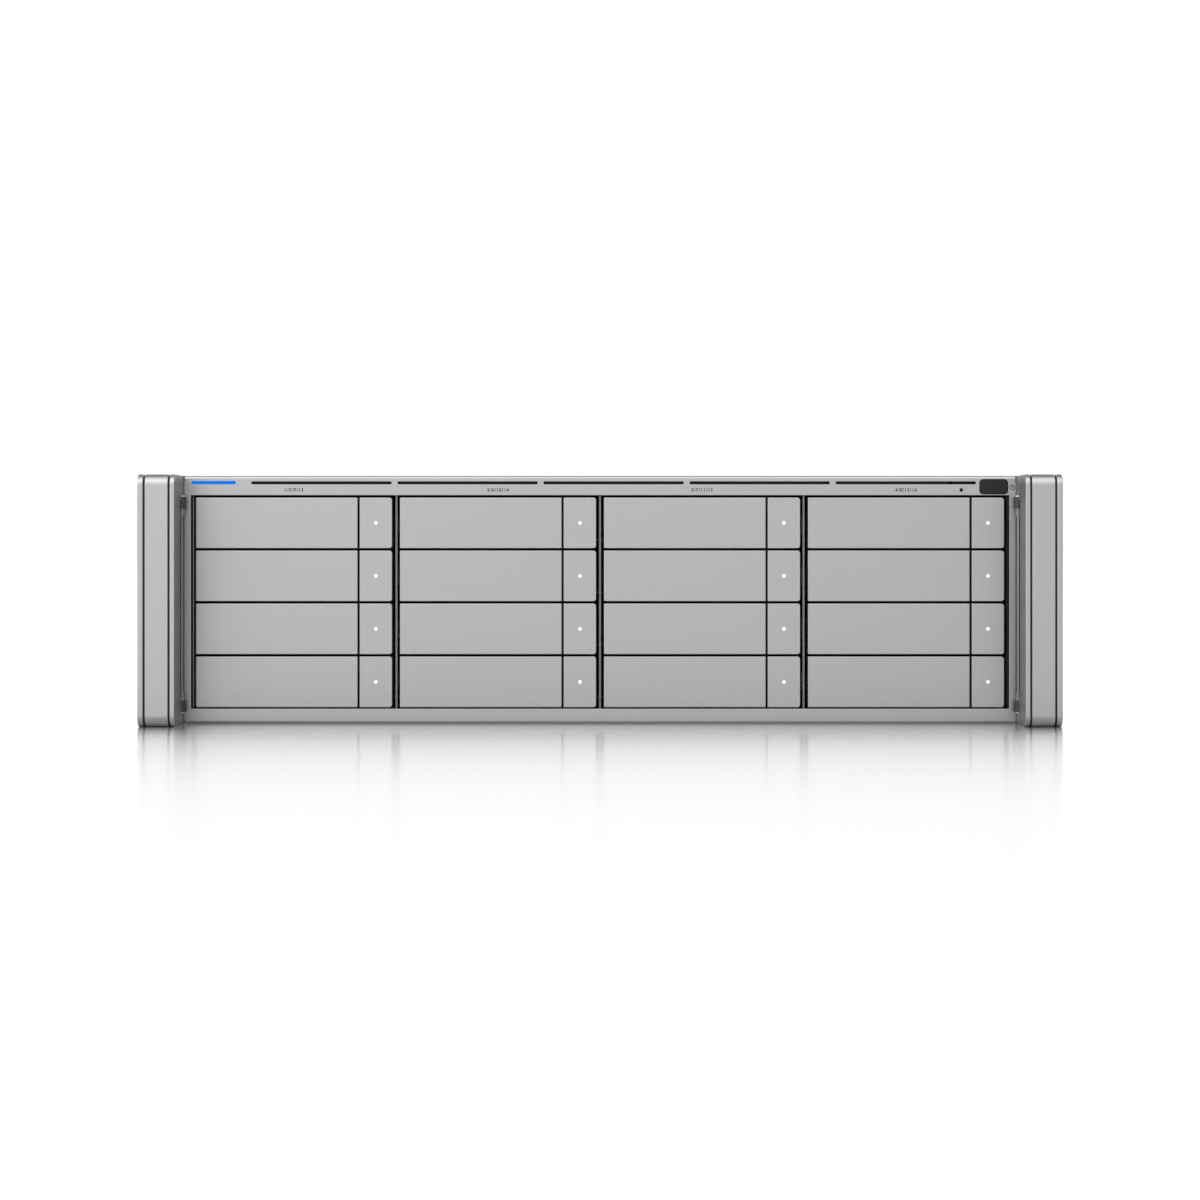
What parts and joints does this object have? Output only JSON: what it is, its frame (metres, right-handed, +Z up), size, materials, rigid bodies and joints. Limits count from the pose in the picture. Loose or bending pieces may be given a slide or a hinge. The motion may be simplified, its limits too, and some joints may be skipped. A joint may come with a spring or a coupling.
{
  "type": "rack-mount storage server",
  "caption": "Rack-mount network storage server, three units high, with hot-swap drive trays, latch levers, hinged ear covers and slide-in power supplies.",
  "frame": {"origin": "under the middle of the whole part, on the surface it stands on", "axes": "+Z up, front faces -Y, +X to the right when looking at the front"},
  "size_m": [0.4826, 0.54, 0.132],
  "materials": {
    "silver_face": "fine-blasted, silver anodised",
    "case_steel": "galvanised steel sheet, satin",
    "cage_steel": "zinc-plated sheet",
    "tray_metal": "die-cast carrier with a drive, satin",
    "bracket_black": "black powder coat",
    "dark_key": "dark grey moulded key",
    "supply_case": "plated sheet case",
    "board": "circuit board laminate",
    "black_plastic": "moulded fan plastic"
  },
  "bodies": {
    "chassis": {"chassis_base": "case_steel", "top_cover": "case_steel", "front_frame": "silver_face", "drive_cage": "cage_steel", "circuit_boards": "board", "cooling_fans": "black_plastic", "rack_brackets": "bracket_black"},
    "ear_cover_left": {"ear_cover_left": "silver_face"},
    "ear_cover_right": {"ear_cover_right": "silver_face"},
    "power_button": {"power_button": "dark_key"},
    "psu_upper": {"psu_upper": "supply_case"},
    "psu_lower": {"psu_lower": "supply_case"},
    "tray_01": {"tray_01": "tray_metal"},
    "lever_01": {"lever_01": "silver_face"},
    "button_01": {"button_01": "silver_face"},
    "tray_02": {"tray_02": "tray_metal"},
    "lever_02": {"lever_02": "silver_face"},
    "button_02": {"button_02": "silver_face"},
    "tray_03": {"tray_03": "tray_metal"},
    "lever_03": {"lever_03": "silver_face"},
    "button_03": {"button_03": "silver_face"},
    "tray_04": {"tray_04": "tray_metal"},
    "lever_04": {"lever_04": "silver_face"},
    "button_04": {"button_04": "silver_face"},
    "tray_05": {"tray_05": "tray_metal"},
    "lever_05": {"lever_05": "silver_face"},
    "button_05": {"button_05": "silver_face"},
    "tray_06": {"tray_06": "tray_metal"},
    "lever_06": {"lever_06": "silver_face"},
    "button_06": {"button_06": "silver_face"},
    "tray_07": {"tray_07": "tray_metal"},
    "lever_07": {"lever_07": "silver_face"},
    "button_07": {"button_07": "silver_face"},
    "tray_08": {"tray_08": "tray_metal"},
    "lever_08": {"lever_08": "silver_face"},
    "button_08": {"button_08": "silver_face"},
    "tray_09": {"tray_09": "tray_metal"},
    "lever_09": {"lever_09": "silver_face"},
    "button_09": {"button_09": "silver_face"},
    "tray_10": {"tray_10": "tray_metal"},
    "lever_10": {"lever_10": "silver_face"},
    "button_10": {"button_10": "silver_face"},
    "tray_11": {"tray_11": "tray_metal"},
    "lever_11": {"lever_11": "silver_face"},
    "button_11": {"button_11": "silver_face"},
    "tray_12": {"tray_12": "tray_metal"},
    "lever_12": {"lever_12": "silver_face"},
    "button_12": {"button_12": "silver_face"},
    "tray_13": {"tray_13": "tray_metal"},
    "lever_13": {"lever_13": "silver_face"},
    "button_13": {"button_13": "silver_face"},
    "tray_14": {"tray_14": "tray_metal"},
    "lever_14": {"lever_14": "silver_face"},
    "button_14": {"button_14": "silver_face"},
    "tray_15": {"tray_15": "tray_metal"},
    "lever_15": {"lever_15": "silver_face"},
    "button_15": {"button_15": "silver_face"},
    "tray_16": {"tray_16": "tray_metal"},
    "lever_16": {"lever_16": "silver_face"},
    "button_16": {"button_16": "silver_face"}
  },
  "joints": [
    {"name": "ear_cover_left_hinge", "type": "hinge", "parent": "chassis", "child": "ear_cover_left", "pos_m": [-0.2224, -0.2395, 0.066], "axis": [0, 0, -1], "range_deg": [-90, 0]},
    {"name": "ear_cover_right_hinge", "type": "hinge", "parent": "chassis", "child": "ear_cover_right", "pos_m": [0.2224, -0.2395, 0.066], "axis": [0, 0, 1], "range_deg": [-90, 0]},
    {"name": "power_button_press", "type": "slide", "parent": "chassis", "child": "power_button", "axis": [0, 1, 0], "range_m": [0, 0.001], "stiffness_N_per_m": 600},
    {"name": "psu_upper_slide", "type": "slide", "parent": "chassis", "child": "psu_upper", "axis": [0, 1, 0], "range_m": [0, 0.2]},
    {"name": "psu_lower_slide", "type": "slide", "parent": "chassis", "child": "psu_lower", "axis": [0, 1, 0], "range_m": [0, 0.2]},
    {"name": "tray_01_slide", "type": "slide", "parent": "chassis", "child": "tray_01", "axis": [0, -1, 0], "range_m": [0, 0.175]},
    {"name": "lever_01_hinge", "type": "hinge", "parent": "tray_01", "child": "lever_01", "pos_m": [-0.21195, -0.231, 0.10695], "axis": [0, 0, -1], "range_deg": [0, 70]},
    {"name": "button_01_press", "type": "slide", "parent": "tray_01", "child": "button_01", "axis": [0, 1, 0], "range_m": [0, 0.0015], "stiffness_N_per_m": 400},
    {"name": "tray_02_slide", "type": "slide", "parent": "chassis", "child": "tray_02", "axis": [0, -1, 0], "range_m": [0, 0.175]},
    {"name": "lever_02_hinge", "type": "hinge", "parent": "tray_02", "child": "lever_02", "pos_m": [-0.1032, -0.231, 0.10695], "axis": [0, 0, -1], "range_deg": [0, 70]},
    {"name": "button_02_press", "type": "slide", "parent": "tray_02", "child": "button_02", "axis": [0, 1, 0], "range_m": [0, 0.0015], "stiffness_N_per_m": 400},
    {"name": "tray_03_slide", "type": "slide", "parent": "chassis", "child": "tray_03", "axis": [0, -1, 0], "range_m": [0, 0.175]},
    {"name": "lever_03_hinge", "type": "hinge", "parent": "tray_03", "child": "lever_03", "pos_m": [0.00555, -0.231, 0.10695], "axis": [0, 0, -1], "range_deg": [0, 70]},
    {"name": "button_03_press", "type": "slide", "parent": "tray_03", "child": "button_03", "axis": [0, 1, 0], "range_m": [0, 0.0015], "stiffness_N_per_m": 400},
    {"name": "tray_04_slide", "type": "slide", "parent": "chassis", "child": "tray_04", "axis": [0, -1, 0], "range_m": [0, 0.175]},
    {"name": "lever_04_hinge", "type": "hinge", "parent": "tray_04", "child": "lever_04", "pos_m": [0.1143, -0.231, 0.10695], "axis": [0, 0, -1], "range_deg": [0, 70]},
    {"name": "button_04_press", "type": "slide", "parent": "tray_04", "child": "button_04", "axis": [0, 1, 0], "range_m": [0, 0.0015], "stiffness_N_per_m": 400},
    {"name": "tray_05_slide", "type": "slide", "parent": "chassis", "child": "tray_05", "axis": [0, -1, 0], "range_m": [0, 0.175]},
    {"name": "lever_05_hinge", "type": "hinge", "parent": "tray_05", "child": "lever_05", "pos_m": [-0.21195, -0.231, 0.0787], "axis": [0, 0, -1], "range_deg": [0, 70]},
    {"name": "button_05_press", "type": "slide", "parent": "tray_05", "child": "button_05", "axis": [0, 1, 0], "range_m": [0, 0.0015], "stiffness_N_per_m": 400},
    {"name": "tray_06_slide", "type": "slide", "parent": "chassis", "child": "tray_06", "axis": [0, -1, 0], "range_m": [0, 0.175]},
    {"name": "lever_06_hinge", "type": "hinge", "parent": "tray_06", "child": "lever_06", "pos_m": [-0.1032, -0.231, 0.0787], "axis": [0, 0, -1], "range_deg": [0, 70]},
    {"name": "button_06_press", "type": "slide", "parent": "tray_06", "child": "button_06", "axis": [0, 1, 0], "range_m": [0, 0.0015], "stiffness_N_per_m": 400},
    {"name": "tray_07_slide", "type": "slide", "parent": "chassis", "child": "tray_07", "axis": [0, -1, 0], "range_m": [0, 0.175]},
    {"name": "lever_07_hinge", "type": "hinge", "parent": "tray_07", "child": "lever_07", "pos_m": [0.00555, -0.231, 0.0787], "axis": [0, 0, -1], "range_deg": [0, 70]},
    {"name": "button_07_press", "type": "slide", "parent": "tray_07", "child": "button_07", "axis": [0, 1, 0], "range_m": [0, 0.0015], "stiffness_N_per_m": 400},
    {"name": "tray_08_slide", "type": "slide", "parent": "chassis", "child": "tray_08", "axis": [0, -1, 0], "range_m": [0, 0.175]},
    {"name": "lever_08_hinge", "type": "hinge", "parent": "tray_08", "child": "lever_08", "pos_m": [0.1143, -0.231, 0.0787], "axis": [0, 0, -1], "range_deg": [0, 70]},
    {"name": "button_08_press", "type": "slide", "parent": "tray_08", "child": "button_08", "axis": [0, 1, 0], "range_m": [0, 0.0015], "stiffness_N_per_m": 400},
    {"name": "tray_09_slide", "type": "slide", "parent": "chassis", "child": "tray_09", "axis": [0, -1, 0], "range_m": [0, 0.175]},
    {"name": "lever_09_hinge", "type": "hinge", "parent": "tray_09", "child": "lever_09", "pos_m": [-0.21195, -0.231, 0.05045], "axis": [0, 0, -1], "range_deg": [0, 70]},
    {"name": "button_09_press", "type": "slide", "parent": "tray_09", "child": "button_09", "axis": [0, 1, 0], "range_m": [0, 0.0015], "stiffness_N_per_m": 400},
    {"name": "tray_10_slide", "type": "slide", "parent": "chassis", "child": "tray_10", "axis": [0, -1, 0], "range_m": [0, 0.175]},
    {"name": "lever_10_hinge", "type": "hinge", "parent": "tray_10", "child": "lever_10", "pos_m": [-0.1032, -0.231, 0.05045], "axis": [0, 0, -1], "range_deg": [0, 70]},
    {"name": "button_10_press", "type": "slide", "parent": "tray_10", "child": "button_10", "axis": [0, 1, 0], "range_m": [0, 0.0015], "stiffness_N_per_m": 400},
    {"name": "tray_11_slide", "type": "slide", "parent": "chassis", "child": "tray_11", "axis": [0, -1, 0], "range_m": [0, 0.175]},
    {"name": "lever_11_hinge", "type": "hinge", "parent": "tray_11", "child": "lever_11", "pos_m": [0.00555, -0.231, 0.05045], "axis": [0, 0, -1], "range_deg": [0, 70]},
    {"name": "button_11_press", "type": "slide", "parent": "tray_11", "child": "button_11", "axis": [0, 1, 0], "range_m": [0, 0.0015], "stiffness_N_per_m": 400},
    {"name": "tray_12_slide", "type": "slide", "parent": "chassis", "child": "tray_12", "axis": [0, -1, 0], "range_m": [0, 0.175]},
    {"name": "lever_12_hinge", "type": "hinge", "parent": "tray_12", "child": "lever_12", "pos_m": [0.1143, -0.231, 0.05045], "axis": [0, 0, -1], "range_deg": [0, 70]},
    {"name": "button_12_press", "type": "slide", "parent": "tray_12", "child": "button_12", "axis": [0, 1, 0], "range_m": [0, 0.0015], "stiffness_N_per_m": 400},
    {"name": "tray_13_slide", "type": "slide", "parent": "chassis", "child": "tray_13", "axis": [0, -1, 0], "range_m": [0, 0.175]},
    {"name": "lever_13_hinge", "type": "hinge", "parent": "tray_13", "child": "lever_13", "pos_m": [-0.21195, -0.231, 0.0222], "axis": [0, 0, -1], "range_deg": [0, 70]},
    {"name": "button_13_press", "type": "slide", "parent": "tray_13", "child": "button_13", "axis": [0, 1, 0], "range_m": [0, 0.0015], "stiffness_N_per_m": 400},
    {"name": "tray_14_slide", "type": "slide", "parent": "chassis", "child": "tray_14", "axis": [0, -1, 0], "range_m": [0, 0.175]},
    {"name": "lever_14_hinge", "type": "hinge", "parent": "tray_14", "child": "lever_14", "pos_m": [-0.1032, -0.231, 0.0222], "axis": [0, 0, -1], "range_deg": [0, 70]},
    {"name": "button_14_press", "type": "slide", "parent": "tray_14", "child": "button_14", "axis": [0, 1, 0], "range_m": [0, 0.0015], "stiffness_N_per_m": 400},
    {"name": "tray_15_slide", "type": "slide", "parent": "chassis", "child": "tray_15", "axis": [0, -1, 0], "range_m": [0, 0.175]},
    {"name": "lever_15_hinge", "type": "hinge", "parent": "tray_15", "child": "lever_15", "pos_m": [0.00555, -0.231, 0.0222], "axis": [0, 0, -1], "range_deg": [0, 70]},
    {"name": "button_15_press", "type": "slide", "parent": "tray_15", "child": "button_15", "axis": [0, 1, 0], "range_m": [0, 0.0015], "stiffness_N_per_m": 400},
    {"name": "tray_16_slide", "type": "slide", "parent": "chassis", "child": "tray_16", "axis": [0, -1, 0], "range_m": [0, 0.175]},
    {"name": "lever_16_hinge", "type": "hinge", "parent": "tray_16", "child": "lever_16", "pos_m": [0.1143, -0.231, 0.0222], "axis": [0, 0, -1], "range_deg": [0, 70]},
    {"name": "button_16_press", "type": "slide", "parent": "tray_16", "child": "button_16", "axis": [0, 1, 0], "range_m": [0, 0.0015], "stiffness_N_per_m": 400}
  ]
}
